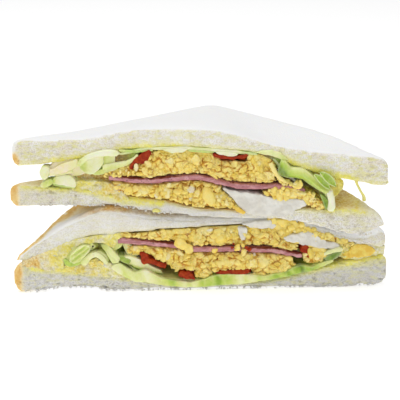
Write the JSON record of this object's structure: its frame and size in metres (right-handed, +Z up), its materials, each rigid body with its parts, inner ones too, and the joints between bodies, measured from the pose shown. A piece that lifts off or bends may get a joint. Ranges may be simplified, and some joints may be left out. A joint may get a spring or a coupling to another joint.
{
  "type": "ham and egg sandwich",
  "caption": "White-bread sandwich cut corner to corner, its two triangular halves stacked with the filled cut faces to the front.",
  "frame": {"origin": "on the flat underside of the lowest slice, 26 mm behind the middle of its cut edge, near the middle of its triangle", "axes": "+X along the cut to the right as seen from the front, +Y from the cut faces towards the right-angled corners, +Z up"},
  "size_m": [0.1548, 0.0839, 0.0699],
  "materials": {
    "bread": "soft white crumb, matte, with golden-brown crust edges",
    "lettuce": "fresh leaf, slightly glossy, pale ribs",
    "ham": "moist pink cured meat with dark pepper edge",
    "tomato": "wet red flesh",
    "egg": "mashed boiled egg, crumbly, moist",
    "egg_white": "smooth firm boiled egg white",
    "spread": "smooth egg yolk and dressing"
  },
  "bodies": {
    "root": {"lower_bottom_slice": "bread", "lower_top_slice": "bread", "upper_bottom_slice": "bread", "upper_top_slice": "bread", "lower_ham": "ham", "upper_ham": "ham", "lower_egg_bottom_layer": "egg", "lower_egg_top_layer": "egg", "upper_egg_bottom_layer": "egg", "upper_egg_top_layer": "egg", "lower_egg_white": "egg_white", "upper_egg_white": "egg_white", "lower_spread": "spread", "lower_lettuce_sheet": "lettuce", "lower_lettuce_curl": "lettuce", "lower_lettuce_arch": "lettuce", "upper_lettuce_fold": "lettuce", "upper_lettuce_rib": "lettuce", "upper_lettuce_curl": "lettuce", "upper_lettuce_flap": "lettuce", "upper_lettuce_scrap": "lettuce", "lower_tomato_left": "tomato", "lower_tomato_middle": "tomato", "lower_tomato_right": "tomato", "lower_tomato_end": "tomato", "upper_tomato_left": "tomato", "upper_tomato_top": "tomato"}
  },
  "joints": []
}
